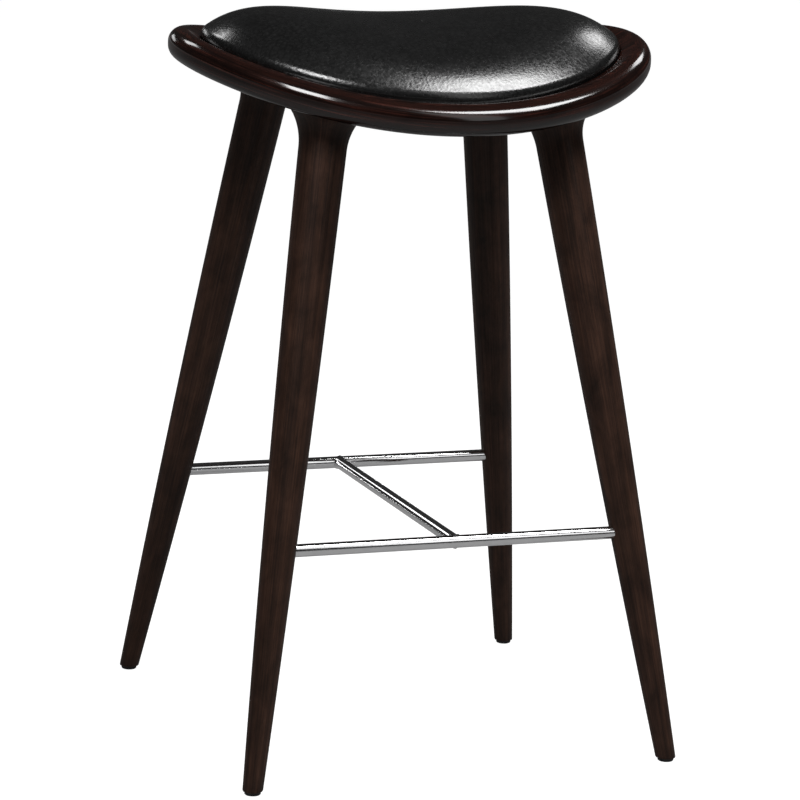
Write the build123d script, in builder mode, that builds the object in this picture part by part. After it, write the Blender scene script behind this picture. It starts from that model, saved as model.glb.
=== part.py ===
from build123d import *
import os
from math import comb, cos, pi, radians, sin, sqrt, tan
from numpy.linalg import solve

# Bar stool: a saddle seat of dark wood with a leather pad let into it, four turned legs that
# splay outward, and an H-shaped footrest of three steel rods.
# Millimetres. +Z is up, -Y is the front, and +X is the right as seen from the front.
# The origin is on the floor, midway between the four feet.

# Seat
seat_length = 468
seat_depth = 345
seat_height = 659
seat_thickness = 28.4
seat_forward = 7
end_rise = 11
edge_drop = 28
seat_tilt = 5.7
bullnose_radius = 12.5
crest_inset = 17.5
crest_radius = 9
dish_depth = 52

# Recess of the seat, where the pad lies
recess_inset = 30
recess_depth = 16

# Pad
pad_clearance = 0.5
pad_lift = 0.3
skin = 1.3
skin_clearance = 0.3
hem_width = 22
board_thickness = 6
pad_edge_height = 0.5
crown_rise = 19.5
wing_rise = 34
pad_shoulder = 11

# Staples that hold the hem of the cover
staple_count = 16
staple_crown = 10
staple_wire = 0.9
staple_leg = 5
staple_inset = 12
staple_proud = 0.2

# Screws that hold the pad from below, and their nuts in the board
screw_diameter = 4.8
screw_hole = 5.6
screw_head_diameter = 9
screw_head_height = 2.8
screw_head_edge = 0.7
screw_socket = 3
screw_socket_depth = 1.6
screw_washer_diameter = 11
screw_washer_thickness = 1
screw_pocket_diameter = 13
screw_pocket_depth = 5
screw_place_shares = ((0.6, 0), (-0.6, 0), (0, 0.58), (0, -0.58))
tee_nut_diameter = 16
tee_nut_flange = 1.2
tee_nut_barrel = 6.8
tee_nut_length = 5
tee_nut_bore = 5
fit_clearance = 0.1

# Legs
foot_span_across = 411
foot_span_deep = 417.6
splay_across = 8.77
splay_deep = 11.1
foot_diameter = 18.6
shoulder_diameter = 44.5
leg_bulge = 1.7
flare_start = 48
flare_radius = 55
flare_angle = 35
flare_land = 3.5
flare_steps = 8
head_trim_inset = 16

# Bolt, insert and dowels of each leg head
bolt_diameter = 6
bolt_hole = 7
bolt_length = 30
bolt_head_diameter = 12.5
bolt_head_height = 2.6
bolt_head_edge = 0.8
bolt_socket = 4
bolt_socket_depth = 1.6
bolt_washer_diameter = 15
bolt_washer_thickness = 1.2
bolt_pocket_diameter = 16.5
bolt_pocket_depth = 5
bolt_bore_depth = 30
insert_diameter = 12
insert_bore = 6.3
insert_length = 16
insert_sink = 1
dowel_diameter = 8
dowel_length = 21
dowel_in_seat = 7
dowel_spread = 27
dowel_end_gap = 0.5
dowel_edge = 0.8

# Footrest
rod_diameter = 12
rod_height = 214.5
rod_past_axis = 3
rod_end_gap = 1
rod_edge = 0.8

# Foot glides and the nails through them
glide_diameter = 15
glide_thickness = 3
glide_edge = 0.7
nail_diameter = 2.2
nail_length = 18
nail_head_diameter = 5
nail_head_height = 1
nail_head_sink = 0.6

# How far a cut or a blank reaches past what it shapes, and how often a crossing is refined
overrun = 12
refinements = 8
crown_degree = 6

half_length = seat_length / 2
half_depth = seat_depth / 2
tilt_slope = tan(radians(seat_tilt))
slope_across = tan(radians(splay_across))
slope_deep = tan(radians(splay_deep))
pad_inset = recess_inset + pad_clearance
core_inset = pad_inset + skin + skin_clearance
saddle_reach = edge_drop + end_rise + tilt_slope * half_depth + overrun
blank_bottom = seat_height - seat_thickness - saddle_reach
blank_height = seat_thickness + 2 * saddle_reach
blank_plane = Plane(origin=(0, -seat_forward, blank_bottom))
leg_rows = {"front": -1, "rear": 1}
leg_places = {
    "front_left": (-1, -1),
    "front_right": (1, -1),
    "rear_left": (-1, 1),
    "rear_right": (1, 1),
}

# Depths below the seat's top sheet, from the hem of the cover up to the board's top
hem_bottom_depth = recess_depth - pad_lift
hem_top_depth = hem_bottom_depth - skin
board_bottom_depth = hem_top_depth - fit_clearance
board_top_depth = board_bottom_depth - board_thickness
foam_bottom_depth = board_top_depth - fit_clearance


def seat_top(x, y):
    """Height of the seat's top sheet: up towards both ends, down to the front and rear edges."""
    deep = y + seat_forward
    rise = end_rise * (x / half_length) ** 2
    drop = edge_drop * (deep / half_depth) ** 2
    return seat_height + rise - drop + tilt_slope * deep


def normal_at(x, y):
    """Upward direction that is square to the seat's sheets at a place."""
    deep = y + seat_forward
    along_x = 2 * end_rise * x / half_length ** 2
    along_y = tilt_slope - 2 * edge_drop * deep / half_depth ** 2
    return Vector(-along_x, -along_y, 1).normalized()


def lowered(depth):
    """Sheet that runs at a fixed depth below the seat's top sheet."""
    return lambda x, y: seat_top(x, y) - depth


def dished(x, y):
    """Shallow bowl that crosses the top sheet at the rim's crest."""
    across = x / (half_length - crest_inset)
    deep = (y + seat_forward) / (half_depth - crest_inset)
    return seat_top(x, y) - dish_depth * (1 - across ** 2 - deep ** 2)


def crowned(depth):
    """Sheet of the pad's crown, at a depth below the outside of its cover."""
    def height(x, y):
        across = (x / (half_length - pad_inset)) ** 2
        deep = ((y + seat_forward) / (half_depth - pad_inset)) ** 2
        crown = crown_rise * (1 - (across + deep) ** 3)
        wings = wing_rise * across * (1 - across - deep)
        return seat_top(x, y) + pad_edge_height + crown + wings - depth
    return height


def sheet(height, degree=2):
    """Face over the whole seat at height(x, y), a polynomial of that degree in x and in y."""
    shares = [step / degree for step in range(degree + 1)]
    basis = [[comb(degree, power) * share ** power * (1 - share) ** (degree - power)
              for power in range(degree + 1)] for share in shares]
    across = [(2 * share - 1) * (half_length + overrun) for share in shares]
    deep = [(2 * share - 1) * (half_depth + overrun) - seat_forward for share in shares]
    heights = [[height(x, y) for x in across] for y in deep]
    net = solve(basis, solve(basis, heights).T).T
    return Face.make_bezier_surface(
        [[Vector(x, y, z) for x, z in zip(across, row)] for y, row in zip(deep, net)])


def above(height):
    """Solid of all that lies above a sheet, as far as the blanks reach."""
    return Solid.extrude(sheet(height), Vector(0, 0, 2 * blank_height))


def below(height, degree=2):
    """Solid of all that lies below a sheet, as far as the blanks reach."""
    return Solid.extrude(sheet(height, degree), Vector(0, 0, -2 * blank_height))


def oval(inset):
    """Upright oval blank, drawn in from the seat's outer edge by an inset."""
    with BuildPart() as blank:
        with BuildSketch(blank_plane):
            Ellipse(half_length - inset, half_depth - inset)
        extrude(amount=blank_height)
    return blank.part


def foot_point(side, row, height):
    """Point of a leg's axis at a height above the floor."""
    x = side * (foot_span_across / 2 - slope_across * height)
    y = row * (foot_span_deep / 2 - slope_deep * height)
    return Vector(x, y, height)


def square_frame(x, y, from_depth, to_depth):
    """Plane square to the seat's sheets above a place, moved from one depth to another."""
    normal = normal_at(x, y)
    start = Plane(origin=(x, y, seat_top(x, y) - from_depth), x_dir=(1, 0, 0), z_dir=normal)
    return start.offset((from_depth - to_depth) * normal.Z)


def leg_radius(rise):
    """Radius of a leg's head: an arc out from the shoulder, then straight on as a cone."""
    arc_rise = min(rise, flare_radius * sin(radians(flare_angle)))
    arc = flare_radius - sqrt(flare_radius ** 2 - arc_rise ** 2)
    return shoulder_diameter / 2 + arc + (rise - arc_rise) * tan(radians(flare_angle))


def head_frame(side, row, depth):
    """Plane square to the seat's underside where a leg's axis meets it, moved to a depth."""
    point = foot_point(side, row, seat_height)
    for _ in range(refinements):
        point = foot_point(side, row, seat_top(point.X, point.Y) - seat_thickness)
    return square_frame(point.X, point.Y, seat_thickness, depth)


def screw_frames(depth):
    """Planes square to the seat's sheets, one at each pad screw, at a depth."""
    return [square_frame(across_share * half_length, deep_share * half_depth - seat_forward,
                         recess_depth, depth)
            for across_share, deep_share in screw_place_shares]


def staple_frames():
    """Planes just under the hem's lower face, one at each staple, with X along the hem."""
    frames = []
    for index in range(staple_count):
        angle = 2 * pi * index / staple_count
        across = half_length - pad_inset - staple_inset
        deep = half_depth - pad_inset - staple_inset
        x = across * cos(angle)
        y = deep * sin(angle) - seat_forward
        along = Vector(-across * sin(angle), deep * cos(angle), 0)
        point = Vector(x, y, seat_top(x, y) - hem_bottom_depth - staple_proud)
        frames.append(Plane(origin=point, x_dir=along, z_dir=normal_at(x, y)))
    return frames


def save(part, name):
    """Label a finished piece and write it to its own file."""
    part.label = name
    export_step(part, f"parts/{name}.step")


os.makedirs("parts", exist_ok=True)

# What is cut from the seat: the dish inside the rim's crest, the recess of the pad, and the
# holes of the leg bolts, dowels and pad screws
with BuildPart() as rim_dish:
    add(above(dished))
    add(above(lowered(recess_depth)), mode=Mode.INTERSECT)
with BuildPart() as recess:
    add(oval(recess_inset))
    add(above(lowered(recess_depth)), mode=Mode.INTERSECT)
with BuildPart() as seat_bores:
    for side, row in leg_places.values():
        floor_frame = head_frame(side, row, recess_depth)
        with BuildSketch(floor_frame.offset(-seat_thickness)):
            Circle(bolt_hole / 2)
        extrude(amount=seat_thickness)
        with BuildSketch(floor_frame.offset(-bolt_pocket_depth)):
            Circle(bolt_pocket_diameter / 2)
        extrude(amount=bolt_pocket_depth + overrun)
        with BuildSketch(head_frame(side, row, seat_thickness).offset(-overrun)):
            with GridLocations(dowel_spread, dowel_spread, 2, 1):
                Circle(dowel_diameter / 2 + fit_clearance)
        extrude(amount=overrun + dowel_in_seat)
    for frame in screw_frames(seat_thickness):
        with BuildSketch(frame.offset(-overrun)):
            Circle(screw_pocket_diameter / 2)
        extrude(amount=screw_pocket_depth + overrun)
        with BuildSketch(frame):
            Circle(screw_hole / 2)
        extrude(amount=seat_thickness)

# Seat: an oval blank between two saddle sheets, with a round edge and a dished rim
with BuildPart() as seat:
    add(oval(0))
    add(below(seat_top), mode=Mode.INTERSECT)
    add(above(lowered(seat_thickness)), mode=Mode.INTERSECT)
    fillet(seat.edges().filter_by(GeomType.LINE, reverse=True), bullnose_radius)
    add(rim_dish.part, mode=Mode.SUBTRACT)
    fillet(seat.edges(Select.LAST).group_by(SortBy.LENGTH)[-1], crest_radius)
    add(recess.part, mode=Mode.SUBTRACT)
    add(seat_bores.part, mode=Mode.SUBTRACT)
save(seat.part, "seat_shell")

# Staples: small wire staples round the hem, driven up into the board
with BuildPart() as staples:
    for frame in staple_frames():
        with BuildSketch(frame):
            Rectangle(staple_crown, staple_wire)
        extrude(amount=staple_wire)
        with BuildSketch(frame.offset(staple_wire)):
            with GridLocations(staple_crown - staple_wire, staple_wire, 2, 1):
                Rectangle(staple_wire, staple_wire)
        extrude(amount=staple_leg)
save(staples.part, "pad_staples")

# Board: moulded plywood that follows the saddle and carries the foam and the cover
with BuildPart() as board:
    add(oval(core_inset))
    add(above(lowered(board_bottom_depth)), mode=Mode.INTERSECT)
    add(below(lowered(board_top_depth)), mode=Mode.INTERSECT)
    for frame in screw_frames(board_top_depth):
        with BuildSketch(frame.offset(-tee_nut_flange - fit_clearance)):
            Circle(tee_nut_diameter / 2 + fit_clearance)
        extrude(amount=board_thickness, mode=Mode.SUBTRACT)
        with BuildSketch(frame):
            Circle(tee_nut_barrel / 2 + fit_clearance)
        extrude(amount=-2 * board_thickness, mode=Mode.SUBTRACT)
    add(staples.part, mode=Mode.SUBTRACT)
save(board.part, "pad_board")

# Foam: the crowned cushion inside the cover
with BuildPart() as foam:
    add(oval(core_inset))
    add(below(crowned(skin + skin_clearance), crown_degree), mode=Mode.INTERSECT)
    fillet(foam.edges().group_by(Axis.Z)[-1], pad_shoulder - skin)
    add(above(lowered(foam_bottom_depth)), mode=Mode.INTERSECT)
save(foam.part, "pad_foam")

# Space inside the cover, and the open middle below it
with BuildPart() as pad_space:
    add(oval(pad_inset + skin))
    add(below(crowned(skin), crown_degree), mode=Mode.INTERSECT)
    fillet(pad_space.edges().group_by(Axis.Z)[-1], pad_shoulder - skin)
    add(above(lowered(hem_top_depth)), mode=Mode.INTERSECT)
with BuildPart() as hem_opening:
    add(oval(pad_inset + hem_width))
    add(below(lowered(board_bottom_depth)), mode=Mode.INTERSECT)

# Cover: one leather skin over the foam, round the board's edge and turned in as a hem
with BuildPart() as cover:
    add(oval(pad_inset))
    add(below(crowned(0), crown_degree), mode=Mode.INTERSECT)
    fillet(cover.edges().group_by(Axis.Z)[-1], pad_shoulder)
    add(above(lowered(hem_bottom_depth)), mode=Mode.INTERSECT)
    add(pad_space.part, mode=Mode.SUBTRACT)
    add(hem_opening.part, mode=Mode.SUBTRACT)
    add(staples.part, mode=Mode.SUBTRACT)
save(cover.part, "pad_cover")

# Tee nuts: flanged barrels let into the board from above
with BuildPart() as tee_nuts:
    for frame in screw_frames(board_top_depth):
        flange_bottom = frame.offset(-tee_nut_flange)
        with BuildSketch(flange_bottom):
            Circle(tee_nut_diameter / 2)
            Circle(tee_nut_bore / 2, mode=Mode.SUBTRACT)
        extrude(amount=tee_nut_flange)
        with BuildSketch(flange_bottom):
            Circle(tee_nut_barrel / 2)
            Circle(tee_nut_bore / 2, mode=Mode.SUBTRACT)
        extrude(amount=-tee_nut_length)
save(tee_nuts.part, "pad_tee_nuts")

# Pad screws and washers: pan heads in pockets of the seat's underside, shanks up into the nuts
with BuildPart() as screws:
    for frame, nut_frame in zip(screw_frames(seat_thickness), screw_frames(board_top_depth)):
        head_top = frame.offset(screw_pocket_depth - screw_washer_thickness)
        shank_length = (nut_frame.origin - head_top.origin).length - tee_nut_flange
        with BuildSketch(head_top):
            Circle(screw_diameter / 2)
        extrude(amount=shank_length)
        with BuildSketch(head_top):
            Circle(screw_head_diameter / 2)
        extrude(amount=-screw_head_height)
        chamfer(screws.edges(Select.LAST).filter_by(GeomType.CIRCLE)
                .sort_by(SortBy.RADIUS).group_by(Axis.Z)[0], screw_head_edge)
        with BuildSketch(head_top.offset(-screw_head_height)):
            RegularPolygon(screw_socket / 2, side_count=6, major_radius=False)
        extrude(amount=screw_socket_depth, mode=Mode.SUBTRACT)
save(screws.part, "pad_screws")

with BuildPart() as screw_washers:
    for frame in screw_frames(seat_thickness):
        with BuildSketch(frame.offset(screw_pocket_depth)):
            Circle(screw_washer_diameter / 2)
            Circle(screw_hole / 2, mode=Mode.SUBTRACT)
        extrude(amount=-screw_washer_thickness)
save(screw_washers.part, "pad_screw_washers")

# Legs: a gently swelled taper, bored for the rod and the glide's nail, with a head that flares
# out and leans over to meet the seat. The head is trimmed to the seat's edge and underside and
# bored for the bolt, its insert and the dowels. The left legs mirror the right ones.
for row_name, row in leg_rows.items():
    foot = foot_point(1, row, 0)
    seat_frame = head_frame(1, row, seat_thickness)
    direction = (seat_frame.origin - foot).normalized()
    shoulder = seat_frame.origin - direction * flare_start
    shank_length = (shoulder - foot).length
    outward = Vector(1, 0, 0).cross(direction).normalized()
    profile_plane = Plane(origin=foot, x_dir=outward, z_dir=outward.cross(direction))
    foot_radius = foot_diameter / 2
    shoulder_radius = shoulder_diameter / 2
    swell = (foot_radius + shoulder_radius) / 2 + leg_bulge
    rod_seat = foot_point(1, row, rod_height) + Vector(rod_past_axis + rod_end_gap, 0, 0)
    with BuildPart() as head:
        for step in range(flare_steps + 1):
            share = step / flare_steps
            rise = (flare_start + flare_land) * share
            lean = share ** 2 * (3 - 2 * share)
            square = direction * (1 - lean) + seat_frame.z_dir * lean
            with BuildSketch(Plane(origin=shoulder + direction * rise, x_dir=(1, 0, 0),
                                   z_dir=square)):
                Circle(leg_radius(rise))
        loft()
        with BuildSketch(Plane(origin=(0, -seat_forward, 0))):
            Ellipse(half_length - head_trim_inset, half_depth - head_trim_inset)
        extrude(amount=2 * seat_height, mode=Mode.INTERSECT)
    with BuildPart() as leg:
        with BuildSketch(profile_plane):
            with BuildLine():
                ThreePointArc((foot_radius, 0), (swell, shank_length / 2),
                              (shoulder_radius, shank_length))
                Polyline((shoulder_radius, shank_length), (0, shank_length), (0, -overrun),
                         (foot_radius, -overrun), (foot_radius, 0))
            make_face()
        revolve(axis=Axis(foot, direction))
        with BuildSketch(Plane(origin=rod_seat, x_dir=(0, 1, 0), z_dir=(1, 0, 0))):
            Circle(rod_diameter / 2 + fit_clearance)
        extrude(amount=-shoulder_diameter, mode=Mode.SUBTRACT)
        split(bisect_by=Plane.XY.offset(glide_thickness), keep=Keep.TOP)
        with BuildSketch(Plane(origin=foot_point(1, row, glide_thickness))):
            Circle(nail_diameter / 2 + fit_clearance)
        extrude(amount=nail_length, mode=Mode.SUBTRACT)
        add(head.part)
        add(above(lowered(seat_thickness + fit_clearance)), mode=Mode.SUBTRACT)
        with BuildSketch(seat_frame.offset(-bolt_bore_depth)):
            Circle(bolt_hole / 2)
        extrude(amount=bolt_bore_depth + overrun, mode=Mode.SUBTRACT)
        with BuildSketch(seat_frame.offset(-insert_sink - insert_length)):
            Circle(insert_diameter / 2 + fit_clearance)
        extrude(amount=insert_length + overrun, mode=Mode.SUBTRACT)
        with BuildSketch(seat_frame.offset(dowel_in_seat - dowel_length - dowel_end_gap)):
            with GridLocations(dowel_spread, dowel_spread, 2, 1):
                Circle(dowel_diameter / 2 + fit_clearance)
        extrude(amount=dowel_length + overrun, mode=Mode.SUBTRACT)
    save(leg.part, f"leg_{row_name}_right")
    with BuildPart() as twin:
        add(mirror(leg.part, about=Plane.YZ, mode=Mode.PRIVATE))
    save(twin.part, f"leg_{row_name}_left")

# Dowels: two in each leg head, square to the seat's underside
with BuildPart() as dowels:
    for side, row in leg_places.values():
        with BuildSketch(head_frame(side, row, seat_thickness).offset(
                dowel_in_seat - dowel_length)):
            with GridLocations(dowel_spread, dowel_spread, 2, 1):
                Circle(dowel_diameter / 2)
        extrude(amount=dowel_length - dowel_end_gap)
    chamfer(dowels.edges().filter_by(GeomType.CIRCLE), dowel_edge)
save(dowels.part, "leg_dowels")

# Leg bolts, washers and inserts: from the floor of the recess down into each leg
with BuildPart() as bolts:
    for side, row in leg_places.values():
        head_bottom = head_frame(side, row, recess_depth).offset(
            bolt_washer_thickness - bolt_pocket_depth)
        with BuildSketch(head_bottom):
            Circle(bolt_diameter / 2)
        extrude(amount=-bolt_length)
        with BuildSketch(head_bottom):
            Circle(bolt_head_diameter / 2)
        extrude(amount=bolt_head_height)
        chamfer(bolts.edges(Select.LAST).filter_by(GeomType.CIRCLE)
                .group_by(Axis.Z)[-1], bolt_head_edge)
        with BuildSketch(head_bottom.offset(bolt_head_height)):
            RegularPolygon(bolt_socket / 2, side_count=6, major_radius=False)
        extrude(amount=-bolt_socket_depth, mode=Mode.SUBTRACT)
save(bolts.part, "leg_bolts")

with BuildPart() as bolt_washers:
    for side, row in leg_places.values():
        with BuildSketch(head_frame(side, row, recess_depth).offset(-bolt_pocket_depth)):
            Circle(bolt_washer_diameter / 2)
            Circle(bolt_hole / 2, mode=Mode.SUBTRACT)
        extrude(amount=bolt_washer_thickness)
save(bolt_washers.part, "leg_bolt_washers")

with BuildPart() as inserts:
    for side, row in leg_places.values():
        with BuildSketch(head_frame(side, row, seat_thickness).offset(
                -insert_sink - insert_length)):
            Circle(insert_diameter / 2)
            Circle(insert_bore / 2, mode=Mode.SUBTRACT)
        extrude(amount=insert_length)
save(inserts.part, "leg_inserts")

# Footrest: a rod between the front legs, one between the rear legs, and a cross rod whose
# hollowed ends fit round them
rod_row = foot_point(1, 1, rod_height).Y
rod_half_length = foot_point(1, 1, rod_height).X + rod_past_axis
with BuildPart() as front_rod:
    with BuildSketch(Plane(origin=(-rod_half_length, -rod_row, rod_height), x_dir=(0, 1, 0),
                           z_dir=(1, 0, 0))):
        Circle(rod_diameter / 2)
    extrude(amount=2 * rod_half_length)
    chamfer(front_rod.edges().filter_by(GeomType.CIRCLE), rod_edge)
save(front_rod.part, "footrest_front_rod")

with BuildPart() as rear_rod:
    add(mirror(front_rod.part, about=Plane.XZ, mode=Mode.PRIVATE))
save(rear_rod.part, "footrest_rear_rod")

with BuildPart() as cross_rod:
    with BuildSketch(Plane(origin=(0, rod_row, rod_height), x_dir=(1, 0, 0), z_dir=(0, -1, 0))):
        Circle(rod_diameter / 2)
    extrude(amount=2 * rod_row)
    add(front_rod.part, mode=Mode.SUBTRACT)
    add(rear_rod.part, mode=Mode.SUBTRACT)
save(cross_rod.part, "footrest_cross_rod")

# Foot glides: round plastic discs under the feet, each with a countersunk nail
for name, (side, row) in leg_places.items():
    point = foot_point(side, row, glide_thickness)
    floor_point = Vector(point.X, point.Y, 0)
    with BuildPart() as glide:
        with BuildSketch(Plane(origin=floor_point)):
            Circle(glide_diameter / 2)
        extrude(amount=glide_thickness)
        chamfer(glide.edges().group_by(Axis.Z)[0], glide_edge)
        with BuildSketch(Plane(origin=floor_point)):
            Circle(nail_diameter / 2 + fit_clearance)
        extrude(amount=glide_thickness, mode=Mode.SUBTRACT)
        with BuildSketch(Plane(origin=floor_point)):
            Circle(nail_head_diameter / 2 + fit_clearance)
        extrude(amount=nail_head_sink + nail_head_height, mode=Mode.SUBTRACT)
    save(glide.part, "glide_" + name)

with BuildPart() as nails:
    for side, row in leg_places.values():
        point = foot_point(side, row, glide_thickness)
        head_bottom = Plane(origin=(point.X, point.Y, nail_head_sink))
        with BuildSketch(head_bottom):
            Circle(nail_head_diameter / 2)
        extrude(amount=nail_head_height)
        with BuildSketch(head_bottom):
            Circle(nail_diameter / 2)
        extrude(amount=nail_length)
save(nails.part, "glide_nails")
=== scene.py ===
from math import atan, cos, hypot, pi, radians, sin, sqrt, tan

import bpy
from mathutils import Matrix, Vector
from mathutils.bvhtree import BVHTree


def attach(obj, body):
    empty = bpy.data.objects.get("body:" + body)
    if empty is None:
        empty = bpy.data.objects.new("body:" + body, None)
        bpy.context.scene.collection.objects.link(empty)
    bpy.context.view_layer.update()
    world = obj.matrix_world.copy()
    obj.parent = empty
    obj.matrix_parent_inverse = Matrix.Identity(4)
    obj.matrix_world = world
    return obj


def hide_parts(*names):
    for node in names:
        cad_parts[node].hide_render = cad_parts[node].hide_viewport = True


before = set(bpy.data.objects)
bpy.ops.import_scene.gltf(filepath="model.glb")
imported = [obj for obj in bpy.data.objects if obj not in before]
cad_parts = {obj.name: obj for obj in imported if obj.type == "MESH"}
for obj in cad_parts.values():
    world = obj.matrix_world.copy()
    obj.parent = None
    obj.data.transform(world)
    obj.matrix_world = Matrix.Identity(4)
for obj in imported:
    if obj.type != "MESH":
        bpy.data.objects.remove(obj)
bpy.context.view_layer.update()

# Sizes in metres, the same as in the part's source
half_length, half_depth = 0.234, 0.1725
seat_height, seat_thickness, seat_forward = 0.659, 0.0284, 0.007
end_rise, edge_drop, tilt_slope = 0.011, 0.028, tan(radians(5.7))
bullnose_radius, crest_inset, crest_radius, dish_depth = 0.0125, 0.0175, 0.009, 0.052
recess_inset, recess_depth, recess_round = 0.030, 0.016, 0.0011
pad_inset, pad_bottom_depth = 0.0305, 0.0157
pad_edge_height, crown_rise, wing_rise, pad_shoulder = 0.0005, 0.0195, 0.034, 0.011
pad_foot_round, pad_tuck = 0.002, 0.0012
screw_places = ((0.6, 0), (-0.6, 0), (0, 0.58), (0, -0.58))
screw_pocket_radius, screw_pocket_depth, pocket_overrun = 0.0065, 0.005, 0.01
foot_across, foot_deep = 0.2055, 0.2088
slope_across, slope_deep = tan(radians(8.77)), tan(radians(11.1))
foot_radius, shoulder_radius, leg_bulge = 0.0093, 0.02225, 0.0017
flare_start, flare_radius, flare_angle = 0.048, 0.055, radians(35)
flare_land, head_trim_inset = 0.0035, 0.016
sole_round, sole_inset, glide_thickness, fit_clearance = 0.0012, 0.004, 0.003, 0.0001
rod_radius, rod_height, rod_past_axis = 0.006, 0.2145, 0.003
rod_edge, rod_end_run = 0.0008, 0.004
weld_reach, weld_swell, weld_sink = 0.0035, 0.0011, 0.0004

# How fine the meshes are: columns go round a piece, and rows along it
seat_columns, leg_columns, rod_columns, pad_columns, pocket_columns = 384, 72, 64, 256, 40
flat_rows, low_edge_rows, high_edge_rows, rim_rows = 9, 11, 13, 4
crest_rows, slope_rows, brink_rows, wall_rows = 7, 6, 4, 3
shank_rows, head_rows, rod_rows, cross_rows = 40, 24, 24, 30
pad_under_rows, pad_foot_rows, pad_side_rows, pad_shoulder_rows, pad_top_rows = 6, 4, 5, 12, 40
innermost_share, pad_innermost_share, pad_flat_share = 0.1, 0.04, 0.96

# How closely places on a surface are searched for, and which edges look sharp
small_step, trim_halvings, crossing_halvings, meeting_rounds = 0.0005, 24, 30, 8
foot_search, head_search = (-0.02, 0.05), (0.2, 1.0)
sharp_angle = radians(40)


def seat_top(x, y):
    """Height of the seat's top sheet."""
    deep = y + seat_forward
    return (seat_height + end_rise * (x / half_length) ** 2
            - edge_drop * (deep / half_depth) ** 2 + tilt_slope * deep)


def seat_normal(x, y):
    """Upward direction that is square to the seat's sheets."""
    deep = y + seat_forward
    return Vector((-2 * end_rise * x / half_length ** 2,
                   2 * edge_drop * deep / half_depth ** 2 - tilt_slope, 1)).normalized()


def on_oval(angle, inset, share=1.0):
    """Plan position on an oval drawn in from the seat's edge, or on a smaller copy of it."""
    return (share * (half_length - inset) * cos(angle),
            share * (half_depth - inset) * sin(angle) - seat_forward)


def blend(a, b, steps, skip=0):
    """Evenly spaced values from a to b."""
    return [a + (b - a) * i / steps for i in range(skip, steps + 1)]


def surface(name, rows, uv_rows):
    """Smooth closed mesh over rings of points, capped at both ends, with a UV for each corner."""
    columns = len(rows[0])
    verts = [tuple(p) for row in rows for p in row]
    faces, uvs = [], []
    for r in range(len(rows) - 1):
        for c in range(columns):
            d = (c + 1) % columns
            faces.append((r * columns + c, r * columns + d, (r + 1) * columns + d,
                          (r + 1) * columns + c))
            uvs += [uv_rows[r][c], uv_rows[r][c + 1], uv_rows[r + 1][c + 1], uv_rows[r + 1][c]]
    for r in (0, len(rows) - 1):
        middle = sum((Vector(p) for p in rows[r]), Vector()) / columns
        verts.append(tuple(middle))
        for c in range(columns):
            d = (c + 1) % columns
            face = (r * columns + d, r * columns + c, len(verts) - 1)
            corners = [uv_rows[r][c + 1], uv_rows[r][c], uv_rows[r][c]]
            if r:
                face, corners = face[::-1], corners[::-1]
            faces.append(face)
            uvs += corners
    mesh = bpy.data.meshes.new(name)
    mesh.from_pydata(verts, [], faces)
    layer = mesh.uv_layers.new(name="grain")
    for loop, uv in zip(layer.data, uvs):
        loop.uv = uv
    mesh.validate()
    mesh.shade_smooth()
    mesh.set_sharp_from_angle(angle=sharp_angle)
    piece = bpy.data.objects.new(name, mesh)
    bpy.context.scene.collection.objects.link(piece)
    return piece


def finish_piece(piece, slot, material, *nodes):
    """Sets a piece's material and body, and hides the CAD nodes that it stands for. The slot is
    not used.
    """
    piece.data.materials.clear()
    piece.data.materials.append(material)
    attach(piece, "root")
    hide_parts(*nodes)


# Materials: noise scales and stretches count features in a metre
def new_material(name):
    """A material with its node tree and its main shader."""
    material = bpy.data.materials.new(name)
    material.use_nodes = True
    tree = material.node_tree
    shader = next(n for n in tree.nodes if n.type == "BSDF_PRINCIPLED")
    return material, tree, shader


def add_node(tree, kind, inputs=None, **props):
    """Adds a node, sets its properties, and sets or links its inputs."""
    made = tree.nodes.new(kind)
    for key, value in props.items():
        setattr(made, key, value)
    for key, value in (inputs or {}).items():
        socket = made.inputs[key]
        if isinstance(value, bpy.types.NodeSocket):
            tree.links.new(value, socket)
        else:
            socket.default_value = value
    return made


def ramp(tree, value, stops):
    """Colour ramp over a value, from (place, colour) stops."""
    made = add_node(tree, "ShaderNodeValToRGB", {"Fac": value})
    elements = made.color_ramp.elements
    while len(elements) < len(stops):
        elements.new(0.5)
    for element, (place, colour) in zip(elements, stops):
        element.position = place
        element.color = (*colour, 1)
    return made.outputs["Color"]


def grey(level):
    return (level, level, level)


def grey_ramp(tree, value, *stops):
    """Ramp of greys over a value, from (place, level) stops."""
    return ramp(tree, value, [(place, grey(level)) for place, level in stops])


def object_place(tree):
    return add_node(tree, "ShaderNodeTexCoord").outputs["Object"]


def stretched(tree, vector, scale):
    """A position scaled by its own factor along each axis."""
    return add_node(tree, "ShaderNodeMapping", {"Vector": vector, "Scale": scale}).outputs[0]


def noise(tree, vector, scale, detail=6, rough=0.55, distortion=0.0):
    return add_node(tree, "ShaderNodeTexNoise", {
        "Vector": vector, "Scale": scale, "Detail": detail, "Roughness": rough,
        "Distortion": distortion}).outputs["Fac"]


def mix_colour(tree, factor, a, b, mode="MIX"):
    """Mix node for colours, whose sockets are inputs 0, 6 and 7 and output 2."""
    made = add_node(tree, "ShaderNodeMix", data_type="RGBA", blend_type=mode)
    for socket, value in ((made.inputs[0], factor), (made.inputs[6], a), (made.inputs[7], b)):
        if isinstance(value, bpy.types.NodeSocket):
            tree.links.new(value, socket)
        else:
            socket.default_value = value if isinstance(value, float) else (*value, 1)
    return made.outputs[2]


def shaded(tree, colour, value, *stops):
    """A colour times a ramp of greys over a value."""
    return mix_colour(tree, 1.0, colour, grey_ramp(tree, value, *stops), "MULTIPLY")


def math_node(tree, operation, a, b):
    return add_node(tree, "ShaderNodeMath", {0: a, 1: b}, operation=operation).outputs[0]


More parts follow.
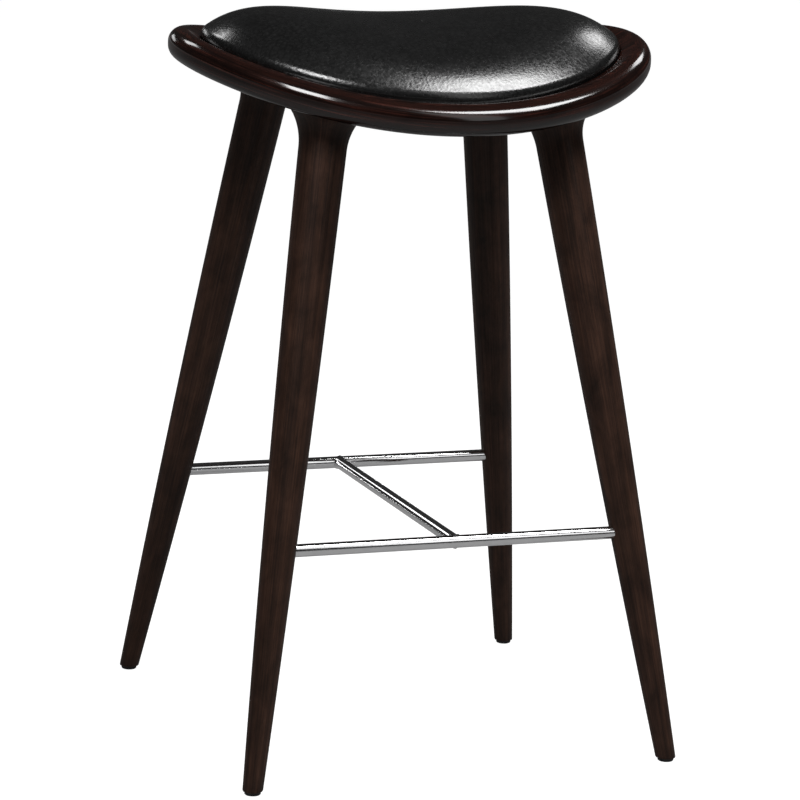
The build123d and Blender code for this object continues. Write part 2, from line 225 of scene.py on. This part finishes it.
def add_relief(tree, shader, height, strength, depth):
    """Bump on a shader, where a height of 1 stands for the given depth in metres."""
    bump = add_node(tree, "ShaderNodeBump", {"Height": height, "Strength": strength,
                                             "Distance": depth})
    tree.links.new(bump.outputs[0], shader.inputs["Normal"])


def stained_wood(name, vector_of, dark, mid, light, rough, sheen, coat, coat_rough):
    """Dark stained wood: long grain, mottled stain, fine dark pores and a lacquer coat.

    The grain runs along the second and third axis of the position that vector_of gives.
    """
    material, tree, shader = new_material(name)
    base = vector_of(tree)
    grain = noise(tree, stretched(tree, base, (620, 9, 9)), 1.0, 7, 0.6, 0.3)
    band = noise(tree, stretched(tree, base, (110, 3.5, 3.5)), 1.0, 4, 0.5, 0.6)
    mottle = noise(tree, stretched(tree, base, (42, 26, 26)), 1.0, 5, 0.6, 0.4)
    pores = noise(tree, stretched(tree, base, (2300, 60, 60)), 1.0, 3, 0.6)
    colour = ramp(tree, grain, ((0.3, dark), (0.52, mid), (0.74, light)))
    colour = shaded(tree, colour, band, (0.3, 0.62), (0.7, 1.35))
    colour = shaded(tree, colour, mottle, (0.32, 0.62), (0.68, 1.45))
    colour = shaded(tree, colour, pores, (0.33, 0.55), (0.46, 1.0))
    tree.links.new(colour, shader.inputs["Base Color"])
    uneven = grey_ramp(tree, grain, (0.3, rough + 0.1), (0.7, rough - 0.04))
    tree.links.new(uneven, shader.inputs["Roughness"])
    height = math_node(tree, "ADD", grain, math_node(tree, "MULTIPLY", pores, 0.6))
    add_relief(tree, shader, height, 0.12, 0.0004)
    shader.inputs["Specular IOR Level"].default_value = sheen
    shader.inputs["Coat Weight"].default_value = coat
    shader.inputs["Coat Roughness"].default_value = coat_rough
    shader.inputs["Coat IOR"].default_value = 1.6
    return material


def grain_uv(tree):
    """Position on a mesh's own grain map."""
    return add_node(tree, "ShaderNodeUVMap", uv_map="grain").outputs[0]


def seat_uv(tree):
    """Grain lines round the rim, and straight grain along X inside it and below."""
    turned = add_node(tree, "ShaderNodeVectorRotate", {"Vector": object_place(tree),
                                                       "Angle": pi / 2},
                      rotation_type="Z_AXIS").outputs[0]
    share = add_node(tree, "ShaderNodeAttribute", attribute_name="edge_share").outputs["Fac"]
    made = add_node(tree, "ShaderNodeMix", {0: share, 4: turned, 5: grain_uv(tree)},
                    data_type="VECTOR")
    return made.outputs[1]


leg_wood = stained_wood("leg_wood", grain_uv, (0.019, 0.0089, 0.0059), (0.034, 0.0160, 0.0102),
                        (0.050, 0.0230, 0.0143), 0.55, 0.12, 0.12, 0.3)
rim_wood = stained_wood("rim_wood", seat_uv, (0.003, 0.0014, 0.0012), (0.0095, 0.0036, 0.0026),
                        (0.055, 0.0145, 0.0095), 0.4, 0.0, 0.85, 0.13)


def make_leather():
    """Black leather: fine pebbled grain, a net of shallow creases, and a soft uneven sheen. Its
    colour holds painted shade in the creases and in the grooves between pebbles, and painted
    light on the pebble tops.
    """
    material, tree, shader = new_material("black_leather_look")
    place = object_place(tree)
    warp = math_node(tree, "MULTIPLY", noise(tree, place, 70, 3, 0.5), 0.012)
    shifted = add_node(tree, "ShaderNodeVectorMath", {0: place, 1: warp}, operation="ADD")
    drawn = stretched(tree, shifted.outputs[0], (0.45, 1, 1))
    pebble = add_node(tree, "ShaderNodeTexVoronoi", {"Vector": place, "Scale": 350.0},
                      feature="SMOOTH_F1").outputs["Distance"]
    crease = add_node(tree, "ShaderNodeTexVoronoi", {"Vector": drawn, "Scale": 280.0},
                      feature="DISTANCE_TO_EDGE").outputs["Distance"]
    crease = add_node(tree, "ShaderNodeMapRange", {"Value": crease, "From Min": 0.0,
                                                   "From Max": 0.2}).outputs[0]
    fine = noise(tree, place, 500, 3, 0.6)
    wrinkle = noise(tree, stretched(tree, place, (90, 260, 260)), 1.0, 1, 0.5, 0.8)
    broad = noise(tree, place, 45, 5, 0.6)
    colour = grey_ramp(tree, broad, (0.3, 0.006), (0.7, 0.0095))
    # Painted shade: the colour is darkened along the low crease lines
    colour = shaded(tree, colour, crease, (0.0, 0.45), (1.0, 1.05))
    # Painted light and shade: the colour is lighter on the raised pebble tops and darker in the
    # grooves between them
    colour = shaded(tree, colour, pebble, (0.15, 1.35), (0.6, 0.6))
    tree.links.new(colour, shader.inputs["Base Color"])
    rough = grey_ramp(tree, pebble, (0.15, 0.16), (0.6, 0.26))
    rough = shaded(tree, rough, fine, (0.3, 0.9), (0.7, 1.15))
    tree.links.new(rough, shader.inputs["Roughness"])
    height = math_node(tree, "MULTIPLY", pebble, -0.9)
    height = math_node(tree, "ADD", height, math_node(tree, "MULTIPLY", crease, 0.3))
    height = math_node(tree, "ADD", height, math_node(tree, "MULTIPLY", wrinkle, 0.7))
    add_relief(tree, shader, height, 0.19, 0.0004)
    shader.inputs["Specular IOR Level"].default_value = 0.65
    return material


def make_metal(name, colour, rough, wear, scale, metallic=1.0):
    """Metal or plastic with a little wear: uneven tone, uneven gloss and a faint relief."""
    material, tree, shader = new_material(name)
    place = object_place(tree)
    tone = noise(tree, place, scale, 5, 0.6)
    low = tuple(c * (1 - wear) for c in colour)
    tree.links.new(ramp(tree, tone, ((0.3, low), (0.7, colour))), shader.inputs["Base Color"])
    uneven = grey_ramp(tree, tone, (0.3, 1.35 * rough), (0.7, 0.65 * rough))
    tree.links.new(uneven, shader.inputs["Roughness"])
    add_relief(tree, shader, noise(tree, place, scale * 9, 3, 0.6), 0.04, 0.0002)
    shader.inputs["Metallic"].default_value = metallic
    return material


leather = make_leather()
chrome = make_metal("polished_chrome", (0.88, 0.88, 0.89), 0.1, 0.06, 60)
zinc = make_metal("zinc_plate", (0.55, 0.55, 0.53), 0.34, 0.25, 220)
brass = make_metal("turned_brass", (0.62, 0.44, 0.19), 0.28, 0.2, 260)
plastic = make_metal("black_plastic_look", (0.012, 0.012, 0.012), 0.5, 0.3, 400, 0.0)


def make_bare_wood(name, dark, light, scale):
    """Unfinished wood for the pieces inside: straight grain along X."""
    material, tree, shader = new_material(name)
    place = object_place(tree)
    grain = noise(tree, stretched(tree, place, (12, scale, scale)), 1.0, 6, 0.6, 0.4)
    tree.links.new(ramp(tree, grain, ((0.3, dark), (0.7, light))), shader.inputs["Base Color"])
    tree.links.new(grey_ramp(tree, grain, (0.3, 0.75), (0.7, 0.6)), shader.inputs["Roughness"])
    add_relief(tree, shader, grain, 0.2, 0.0003)
    return material


plywood = make_bare_wood("bare_plywood", (0.36, 0.22, 0.11), (0.58, 0.41, 0.24), 500)
beech = make_bare_wood("bare_beech", (0.42, 0.26, 0.14), (0.62, 0.43, 0.27), 900)


# Seat
def seat_column(angle):
    """Points of one section of the seat.

    They run from the middle of the underside round the edge, over the crest and down the inner
    slope into the recess.
    """
    def sheet(inset):
        return seat_top(*on_oval(angle, inset))

    def dish(inset):
        x, y = on_oval(angle, inset)
        across = x / (half_length - crest_inset)
        deep = (y + seat_forward) / (half_depth - crest_inset)
        return seat_top(x, y) - dish_depth * (1 - across ** 2 - deep ** 2)

    def lean_of(height, inset):
        return atan((height(inset + small_step) - height(inset - small_step)) / (2 * small_step))

    radius = bullnose_radius
    lean = lean_of(sheet, radius)
    column = []
    start = radius * (1 + sin(lean))
    for share in blend(innermost_share, 1.0, flat_rows)[:-1]:
        x, y = on_oval(angle, start, share)
        column.append((x, y, seat_top(x, y) - seat_thickness))
    low = sheet(start) - seat_thickness + radius * cos(lean)
    for turn in blend(lean - pi / 2, -pi, low_edge_rows):
        x, y = on_oval(angle, radius + radius * cos(turn))
        column.append((x, y, low + radius * sin(turn)))
    high = sheet(radius * (1 - sin(lean))) - radius * cos(lean)
    for turn in blend(pi, pi / 2 + lean, high_edge_rows):
        x, y = on_oval(angle, radius + radius * cos(turn))
        column.append((x, y, high + radius * sin(turn)))
    lean = lean_of(sheet, crest_inset)
    fall = lean_of(dish, crest_inset)
    reach = crest_radius * tan((lean - fall) / 2)
    crest_start = crest_inset - reach * cos(lean)
    first = radius * (1 - sin(lean_of(sheet, radius)))
    for inset in blend(first, crest_start, rim_rows, 1)[:-1]:
        column.append((*on_oval(angle, inset), sheet(inset)))
    middle = crest_start + crest_radius * sin(lean)
    level = sheet(crest_inset) - reach * sin(lean) - crest_radius * cos(lean)
    for turn in blend(pi / 2 + lean, pi / 2 + fall, crest_rows):
        column.append((*on_oval(angle, middle + crest_radius * cos(turn)),
                       level + crest_radius * sin(turn)))
    edge = recess_round
    crest_end = crest_inset + reach * cos(fall)
    for inset in blend(crest_end, recess_inset - edge, slope_rows, 1):
        column.append((*on_oval(angle, inset), dish(inset)))
    brink = dish(recess_inset)
    for turn in blend(pi / 2, 0, brink_rows, 1):
        column.append((*on_oval(angle, recess_inset - edge + edge * cos(turn)),
                       brink - edge + edge * sin(turn)))
    floor_level = sheet(recess_inset) - recess_depth
    for level in blend(brink - edge, floor_level, wall_rows, 1):
        column.append((*on_oval(angle, recess_inset), level))
    for share in blend(1.0, innermost_share, flat_rows, 1):
        x, y = on_oval(angle, recess_inset, share)
        column.append((x, y, seat_top(x, y) - recess_depth))
    return column


def make_seat():
    """The seat's mesh, whose grain map holds the depth and the way round the edge."""
    angles = [2 * pi * c / seat_columns for c in range(seat_columns)]
    columns = [seat_column(angle) for angle in angles]
    rows = [list(row) for row in zip(*columns)]
    around = [0.0]
    for c in range(seat_columns):
        a, b = on_oval(angles[c], 0), on_oval(angles[(c + 1) % seat_columns], 0)
        around.append(around[-1] + hypot(a[0] - b[0], a[1] - b[1]))
    uv_rows = []
    for row in rows:
        depths = [seat_top(p[0], p[1]) - p[2] for p in row]
        uv_rows.append([(depths[c % seat_columns], around[c]) for c in range(seat_columns + 1)])
    return surface("seat", rows, uv_rows)


def pocket_cutter():
    """Four short cylinders that cut the pockets of the pad screws into the underside."""
    verts, faces = [], []
    for across, deep in screw_places:
        x, y = across * half_length, deep * half_depth - seat_forward
        normal = seat_normal(x, y)
        middle = Vector((x, y, seat_top(x, y) - recess_depth))
        middle -= normal * (seat_thickness - recess_depth) * normal.z
        aside = normal.orthogonal().normalized()
        ahead = normal.cross(aside)
        first = len(verts)
        for lift in (-pocket_overrun, screw_pocket_depth):
            for c in range(pocket_columns):
                turn = 2 * pi * c / pocket_columns
                verts.append(middle + normal * lift + (
                    aside * cos(turn) + ahead * sin(turn)) * screw_pocket_radius)
        ring = list(range(first, first + pocket_columns))
        upper = [c + pocket_columns for c in ring]
        for c in range(pocket_columns):
            d = (c + 1) % pocket_columns
            faces.append((ring[c], ring[d], upper[d], upper[c]))
        faces += [tuple(reversed(ring)), tuple(upper)]
    mesh = bpy.data.meshes.new("pockets")
    mesh.from_pydata([tuple(v) for v in verts], [], faces)
    made = bpy.data.objects.new("pockets", mesh)
    bpy.context.scene.collection.objects.link(made)
    return made


def apply_modifiers(piece):
    """Gives a piece the mesh that its modifiers make, and removes them."""
    graph = bpy.context.evaluated_depsgraph_get()
    mesh = bpy.data.meshes.new_from_object(piece.evaluated_get(graph), depsgraph=graph)
    old = piece.data
    piece.modifiers.clear()
    piece.data = mesh
    bpy.data.meshes.remove(old)


seat = make_seat()
cutter = pocket_cutter()
cut = seat.modifiers.new("pockets", "BOOLEAN")
cut.object = cutter
cut.solver = "EXACT"
apply_modifiers(seat)
bpy.data.objects.remove(cutter)
seat.data.set_sharp_from_angle(angle=sharp_angle)

# How much each point belongs to the rim, which seat_uv uses: from 0 to 1 over a narrow band
rim_start, rim_band = 0.93, 0.04
share_layer = seat.data.attributes.new("edge_share", "FLOAT", "POINT")
for vertex, item in zip(seat.data.vertices, share_layer.data):
    out = hypot(vertex.co.x / half_length, (vertex.co.y + seat_forward) / half_depth)
    item.value = min(1.0, max(0.0, (out - rim_start) / rim_band))
finish_piece(seat, "stained_wood", rim_wood, "seat_shell")


# Legs
def leg_frame(side, row):
    """Foot point, axis direction and the normal of the seat where the axis meets it."""
    foot = Vector((side * foot_across, row * foot_deep, 0))
    point = foot
    height = seat_height
    for _ in range(meeting_rounds):
        point = Vector((side * (foot_across - slope_across * height),
                        row * (foot_deep - slope_deep * height), height))
        height = seat_top(point.x, point.y) - seat_thickness
    return foot, point, (point - foot).normalized(), seat_normal(point.x, point.y)


def leg_radius(rise):
    """Radius of a leg's head: an arc out from the shoulder, then straight on as a cone."""
    arc_rise = min(rise, flare_radius * sin(flare_angle))
    arc = flare_radius - sqrt(flare_radius ** 2 - arc_rise ** 2)
    return shoulder_radius + arc + (rise - arc_rise) * tan(flare_angle)


def trimmed(point, centre):
    """A point of a leg's head, drawn back towards its centre to stay under the seat."""
    def reach(p):
        return hypot(p.x / (half_length - head_trim_inset),
                     (p.y + seat_forward) / (half_depth - head_trim_inset))
    if reach(point) <= 1:
        return point
    low, high = 0.0, 1.0
    for _ in range(trim_halvings):
        middle = (low + high) / 2
        if reach(centre.lerp(point, middle)) > 1:
            high = middle
        else:
            low = middle
    return centre.lerp(point, low)


def crossing(point_at, height_of, low, high):
    """Share at which a line of points first comes above a height."""
    for _ in range(crossing_halvings):
        middle = (low + high) / 2
        p = point_at(middle)
        if p.z > height_of(p):
            high = middle
        else:
            low = middle
    return (low + high) / 2


def make_leg(name, side, row):
    """One leg: rings from the rounded sole up the shank and the flared head to the seat."""
    foot, top, direction, normal = leg_frame(side, row)
    shoulder = top - direction * flare_start
    length = (shoulder - foot).length
    aside = Vector((1, 0, 0))

    def shank_point(share, turn):
        across = aside - direction * aside.dot(direction)
        across.normalize()
        ahead = direction.cross(across)
        radius = (foot_radius + (shoulder_radius - foot_radius) * share
                  + 4 * leg_bulge * share * (1 - share))
        return foot + direction * (length * share) + (
            across * cos(turn) + ahead * sin(turn)) * radius

    def head_point(share, turn):
        rise = (flare_start + flare_land) * share
        lean = share ** 2 * (3 - 2 * share)
        square = (direction * (1 - lean) + normal * lean).normalized()
        across = (aside - square * aside.dot(square)).normalized()
        ahead = square.cross(across)
        centre = shoulder + direction * rise
        out = (across * cos(turn) + ahead * sin(turn)) * leg_radius(rise)
        return trimmed(centre + out, centre)

    rows, uv_rows = [], []
    turns = [2 * pi * c / leg_columns for c in range(leg_columns + 1)]
    foot_shares = [crossing(lambda s, t=t: shank_point(s, t), lambda p: glide_thickness,
                            *foot_search) for t in turns[:-1]]
    top_shares = [crossing(lambda s, t=t: head_point(s, t),
                           lambda p: seat_top(p.x, p.y) - seat_thickness - fit_clearance,
                           *head_search) for t in turns[:-1]]
    third = sole_round / 3
    for inward, lift in ((sole_inset, 0), (sole_round, 0), (third, third), (0, sole_round)):
        ring = []
        for t, s in zip(turns, foot_shares):
            p = shank_point(s + lift / length, t)
            centre = foot + direction * (p - foot).dot(direction)
            outward = p - centre
            outward.z = 0
            ring.append(p - outward.normalized() * inward)
        rows.append(ring)
    first = [s + sole_round / length for s in foot_shares]
    for share in blend(0, 1, shank_rows, 1):
        rows.append([shank_point(f + (1 - f) * share, t) for t, f in zip(turns, first)])
    for share in blend(0, 1, head_rows, 1):
        rows.append([head_point(s * share, t) for t, s in zip(turns, top_shares)])
    # Each leg's grain map starts elsewhere, so that no two legs show the same figure
    for ring in rows:
        run = sum((p - foot).dot(direction) for p in ring) / leg_columns
        uv_rows.append([(t * shoulder_radius, run + 0.37 * side + 0.91 * row) for t in turns])
    leg = surface("wood_" + name, rows, uv_rows)
    finish_piece(leg, "stained_wood", leg_wood, "leg_" + name)


# Side and row of each leg: -1 is left or front, 1 is right or rear
leg_places = {"front_left": (-1, -1), "front_right": (1, -1),
              "rear_left": (-1, 1), "rear_right": (1, 1)}
for place, (side, row) in leg_places.items():
    make_leg(place, side, row)


# Footrest rods
rod_row = foot_deep - slope_deep * rod_height
rod_half = foot_across - slope_across * rod_height + rod_past_axis
rod_turns = [2 * pi * c / rod_columns for c in range(rod_columns + 1)]
inner_half = rod_half - rod_end_run
rod_stops = [(-rod_half, rod_radius - rod_edge), (-rod_half + rod_edge, rod_radius)]
rod_stops += [(at, rod_radius) for at in blend(-inner_half, inner_half, rod_rows)]
rod_stops += [(rod_half - rod_edge, rod_radius), (rod_half, rod_radius - rod_edge)]
for place, row in (("front", -1), ("rear", 1)):
    rows = [[Vector((at, row * rod_row + radius * cos(t), rod_height + radius * sin(t)))
             for t in rod_turns[:-1]] for at, radius in rod_stops]
    uv_rows = [[(t * rod_radius, at) for t in rod_turns] for at, radius in rod_stops]
    rod = surface(f"rod_{place}", rows, uv_rows)
    finish_piece(rod, "chromed_steel", chrome, f"footrest_{place}_rod")

# Cross rod: coped to the other two, with a small weld swelling its ends
end_shares = [0, 0.002, 0.004, 0.007, 0.011]
cross_shares = end_shares + blend(0.02, 0.98, cross_rows) + [1 - s for s in end_shares[::-1]]
rows, uv_rows = [], []
for share in cross_shares:
    ring, uv_ring = [], []
    for t in rod_turns:
        reach = rod_row - rod_radius * abs(cos(t)) + weld_sink
        at = reach * (2 * share - 1)
        near = max(0.0, 1 - (reach - abs(at)) / weld_reach)
        radius = rod_radius + weld_swell * near ** 2
        ring.append(Vector((radius * cos(t), at, rod_height + radius * sin(t))))
        uv_ring.append((t * rod_radius, at))
    rows.append(ring[:-1])
    uv_rows.append(uv_ring)
cross = surface("rod_cross", rows, uv_rows)
finish_piece(cross, "chromed_steel", chrome, "footrest_cross_rod")


# Cushion
def crown_top(x, y):
    """Height of the cushion's crown: a flattened dome with a low wing at each end."""
    across = (x / (half_length - pad_inset)) ** 2
    deep = ((y + seat_forward) / (half_depth - pad_inset)) ** 2
    crown = crown_rise * (1 - (across + deep) ** 3)
    wings = wing_rise * across * (1 - across - deep)
    return seat_top(x, y) + pad_edge_height + crown + wings


def pad_column(angle, shrink):
    """Points of one section of the cushion, from the middle of its underside to its crown.

    The section is drawn in by a margin all round.
    """
    outer = pad_inset + shrink
    column = []
    for share in blend(innermost_share, pad_flat_share, pad_under_rows):
        x, y = on_oval(angle, outer, share)
        column.append((x, y, seat_top(x, y) - pad_bottom_depth + shrink))
    bottom = seat_top(*on_oval(angle, outer)) - pad_bottom_depth + shrink
    foot = pad_foot_round
    for turn in blend(-pi / 2, -pi, pad_foot_rows):
        column.append((*on_oval(angle, outer + foot + foot * cos(turn)),
                       bottom + foot + foot * sin(turn)))

    def top(inset):
        return crown_top(*on_oval(angle, inset)) - shrink

    radius = pad_shoulder
    lean = atan((top(outer + radius + small_step) - top(outer + radius - small_step))
                / (2 * small_step))
    start = outer + radius * (1 - sin(lean))
    level = top(start) - radius * cos(lean)
    low = bottom + foot
    for height in blend(low, level, pad_side_rows, 1)[:-1]:
        tuck = pad_tuck * sin(pi * (height - low) / (level - low)) ** 2
        column.append((*on_oval(angle, outer + tuck), height))
    for turn in blend(pi, pi / 2 + lean, pad_shoulder_rows):
        column.append((*on_oval(angle, outer + radius + radius * cos(turn)),
                       level + radius * sin(turn)))
    x0, y0 = on_oval(angle, start)
    for share in blend(1.0, pad_innermost_share, pad_top_rows, 1):
        x, y = x0 * share, (y0 + seat_forward) * share - seat_forward
        column.append((x, y, crown_top(x, y) - shrink))
    return column


def make_pad(name, columns, shrink):
    """Mesh of the cushion, drawn in by a margin."""
    made = [pad_column(2 * pi * c / columns, shrink) for c in range(columns)]
    rows = [list(row) for row in zip(*made)]
    uv_rows = [[(row[c % columns][0], row[c % columns][1]) for c in range(columns + 1)]
               for row in rows]
    return surface(name, rows, uv_rows)


# Cloth run: pressure swells a slightly smaller, evenly meshed copy of the cushion
swell_margin, swell_voxel, swell_steps = 0.0012, 0.005, 20
swell_pressure, swell_tension, swell_bending = 4, 12, 6
farthest_move, held_depth, held_band = 0.004, 0.004, 0.008
least_offset, most_offset, smoothings, own_share = -0.0012, 0.0004, 80, 0.4
calm_edge, calm_band = 0.9, 0.3


def swelled_copy():
    """The swollen copy, whose points are held where they lie deep in the seat's recess."""
    swell = make_pad("swell", pad_columns // 2, swell_margin)
    remesh = swell.modifiers.new("even", "REMESH")
    remesh.mode = "VOXEL"
    remesh.voxel_size = swell_voxel
    apply_modifiers(swell)
    start = [v.co.copy() for v in swell.data.vertices]
    cloth = swell.modifiers.new("cloth", "CLOTH")
    cloth.settings.use_pressure = True
    cloth.settings.uniform_pressure_force = swell_pressure
    cloth.settings.tension_stiffness = swell_tension
    cloth.settings.bending_stiffness = swell_bending
    cloth.settings.effector_weights.gravity = 0
    cloth.point_cache.frame_start = 1
    cloth.point_cache.frame_end = swell_steps
    for step in range(1, swell_steps + 1):
        bpy.context.scene.frame_set(step)
    apply_modifiers(swell)
    bpy.context.scene.frame_set(1)
    for vertex, was in zip(swell.data.vertices, start):
        move = vertex.co - was
        depth = seat_top(was.x, was.y) - was.z
        free = min(1.0, max(0.0, (held_depth - depth) / held_band))
        if move.length > farthest_move:
            move *= farthest_move / move.length
        vertex.co = was + move * free
    swell.data.update()
    return swell


def take_swell(piece, swell):
    """Moves the points of a piece's top towards the swollen copy.

    Their offsets are limited, then smoothed, and they fade out towards the edge.
    """
    tree = BVHTree.FromPolygons([v.co for v in swell.data.vertices],
                                [p.vertices[:] for p in swell.data.polygons])
    piece.data.update()
    offsets = []
    for vertex in piece.data.vertices:
        spot, _, _, _ = tree.find_nearest(vertex.co)
        offset = (spot - vertex.co).dot(vertex.normal)
        offsets.append(max(least_offset, min(most_offset, offset)))
    near = [[] for _ in offsets]
    for edge in piece.data.edges:
        a, b = edge.vertices
        near[a].append(b)
        near[b].append(a)
    for _ in range(smoothings):
        offsets = [own_share * here
                   + (1 - own_share) * sum(offsets[n] for n in around) / len(around)
                   for here, around in zip(offsets, near)]
    for vertex, offset in zip(piece.data.vertices, offsets):
        x, y, z = vertex.co
        out = hypot(x / (half_length - pad_inset), (y + seat_forward) / (half_depth - pad_inset))
        free = min(1.0, max(0.0, (calm_edge - out) / calm_band))
        if z <= seat_top(x, y):
            free = 0.0
        vertex.co += vertex.normal * offset * free
    piece.data.update()


cushion = make_pad("cushion", pad_columns, 0.0)
swell = swelled_copy()
take_swell(cushion, swell)
bpy.data.objects.remove(swell)
finish_piece(cushion, "black_leather", leather, "pad_foam", "pad_cover")

# Finishes of the CAD pieces that stay as they are
finishes = {"pad_board": plywood, "leg_dowels": beech, "leg_inserts": brass}
for node in ("pad_staples", "pad_screws", "pad_screw_washers", "pad_tee_nuts", "leg_bolts",
             "leg_bolt_washers", "glide_nails"):
    finishes[node] = zinc
for place in leg_places:
    finishes["glide_" + place] = plastic
for node, material in finishes.items():
    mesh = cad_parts[node].data
    mesh.materials.clear()
    mesh.materials.append(material)


def ray_kinds(tree):
    """Whether a ray comes from the camera, and whether it is mirrored or passes through."""
    path = add_node(tree, "ShaderNodeLightPath").outputs
    mirrored = math_node(tree, "MAXIMUM", path["Is Glossy Ray"], path["Is Transmission Ray"])
    return path["Is Camera Ray"], mirrored


# Floor: white to the camera, partly by its own glow and partly by the light that falls on it, so
# that it keeps the stool's shade; grey in reflections and in the light that it throws back
glow_strength, camera_share, mirror_share = 1.315, 0.72, 0.07
floor_tone, floor_camera_tone, floor_reach = 0.22, 0.9, 30.0
floor_mesh = bpy.data.meshes.new("floor")
floor_mesh.from_pydata([(floor_reach * x, floor_reach * y, 0)
                        for x, y in ((-1, -1), (1, -1), (1, 1), (-1, 1))], [], [(0, 1, 2, 3)])
floor = bpy.data.objects.new("floor", floor_mesh)
bpy.context.scene.collection.objects.link(floor)
floor_look, tree, shader = new_material("floor_look")
shader.inputs["Roughness"].default_value = 0.9
shader.inputs["Specular IOR Level"].default_value = 0.0
white = add_node(tree, "ShaderNodeEmission", {"Color": (1, 1, 1, 1), "Strength": glow_strength})
from_camera, mirrored = ray_kinds(tree)
tone = mix_colour(tree, from_camera, grey(floor_tone), grey(floor_camera_tone))
tree.links.new(tone, shader.inputs["Base Color"])
part = math_node(tree, "MAXIMUM", math_node(tree, "MULTIPLY", from_camera, camera_share),
                 math_node(tree, "MULTIPLY", mirrored, mirror_share))
shown = add_node(tree, "ShaderNodeMixShader", {0: part, 1: shader.outputs[0],
                                               2: white.outputs[0]})
output = next(n for n in tree.nodes if n.type == "OUTPUT_MATERIAL")
tree.links.new(shown.outputs[0], output.inputs["Surface"])
floor_mesh.materials.append(floor_look)

# World: white to the camera; in reflections grey at the horizon and almost black above it, where
# only the soft boxes show; a dim even room to everything else
room_level, horizon_level, upper_level, upper_start = 0.22, 0.3, 0.026, 0.04
world = bpy.data.worlds.new("room")
bpy.context.scene.world = world
world.use_nodes = True
tree = world.node_tree
tree.nodes.clear()
from_camera, mirrored = ray_kinds(tree)
toward = add_node(tree, "ShaderNodeTexCoord").outputs["Generated"]
upward = add_node(tree, "ShaderNodeSeparateXYZ", {0: toward}).outputs["Z"]
above = grey_ramp(tree, upward, (0.0, horizon_level), (upper_start, upper_level))
room = add_node(tree, "ShaderNodeBackground", {"Color": (1, 1, 1, 1), "Strength": room_level})
reflected = add_node(tree, "ShaderNodeBackground", {"Color": above, "Strength": 1.0})
backdrop = add_node(tree, "ShaderNodeBackground", {"Color": (1, 1, 1, 1), "Strength": 1.0})
shown = add_node(tree, "ShaderNodeMixShader", {0: mirrored, 1: room.outputs[0],
                                               2: reflected.outputs[0]})
shown = add_node(tree, "ShaderNodeMixShader", {0: from_camera, 1: shown.outputs[0],
                                               2: backdrop.outputs[0]})
add_node(tree, "ShaderNodeOutputWorld", {"Surface": shown.outputs[0]})

# Soft boxes: name, azimuth (0 in front, 90 to the right), elevation, distance, width, height
# and power. The two low ones are there for the rods, which mirror them
soft_boxes = (
    ("box_front_left", -36, 48, 2.2, 0.55, 0.85, 29),
    ("box_front_right", 66, 59, 2.2, 0.75, 0.95, 39),
    ("box_front_low", 24, 35, 2.2, 0.5, 2.0, 3.6),
    ("box_rear_low", -163, 14, 2.2, 0.6, 0.26, 1.2),
    ("box_rear_left", -150, 42, 2.2, 0.45, 0.5, 5),
    ("box_rear_right", 124, 36, 2.2, 0.45, 0.45, 4.2),
)
aim = Vector((0, 0, 0.55))
for name, turn, lift, distance, width, height, power in soft_boxes:
    lamp = bpy.data.lights.new(name, "AREA")
    lamp.shape = "RECTANGLE"
    lamp.size, lamp.size_y, lamp.energy = width, height, power
    made = bpy.data.objects.new(name, lamp)
    a, e = radians(turn), radians(lift)
    back = Vector((sin(a) * cos(e), -cos(a) * cos(e), sin(e)))
    made.location = aim + back * distance
    made.rotation_mode = "QUATERNION"
    made.rotation_quaternion = back.to_track_quat("Z", "Y")
    bpy.context.scene.collection.objects.link(made)

# Camera: worked out from the photograph's silhouettes
camera_azimuth, camera_elevation, camera_roll = radians(-20.37), radians(11.85), radians(1.92)
camera_distance, camera_lens, target = 3.3218, 155.02, Vector((0.0021, 0, 0.3135))
back = Vector((sin(camera_azimuth) * cos(camera_elevation),
               -cos(camera_azimuth) * cos(camera_elevation), sin(camera_elevation)))
right = (-back).cross(Vector((0, 0, 1))).normalized()
up = right.cross(-back).normalized()
across = right * cos(camera_roll) + up * sin(camera_roll)
upward = -right * sin(camera_roll) + up * cos(camera_roll)
camera_data = bpy.data.cameras.new("camera")
camera_data.lens, camera_data.sensor_width = camera_lens, 36
camera_data.clip_start, camera_data.clip_end = 0.1, 100
camera = bpy.data.objects.new("camera", camera_data)
camera.matrix_world = Matrix((
    (across.x, upward.x, back.x, target.x + back.x * camera_distance),
    (across.y, upward.y, back.y, target.y + back.y * camera_distance),
    (across.z, upward.z, back.z, target.z + back.z * camera_distance),
    (0, 0, 0, 1)))
bpy.context.scene.collection.objects.link(camera)
bpy.context.scene.camera = camera
bpy.context.scene.view_settings.view_transform = "Standard"
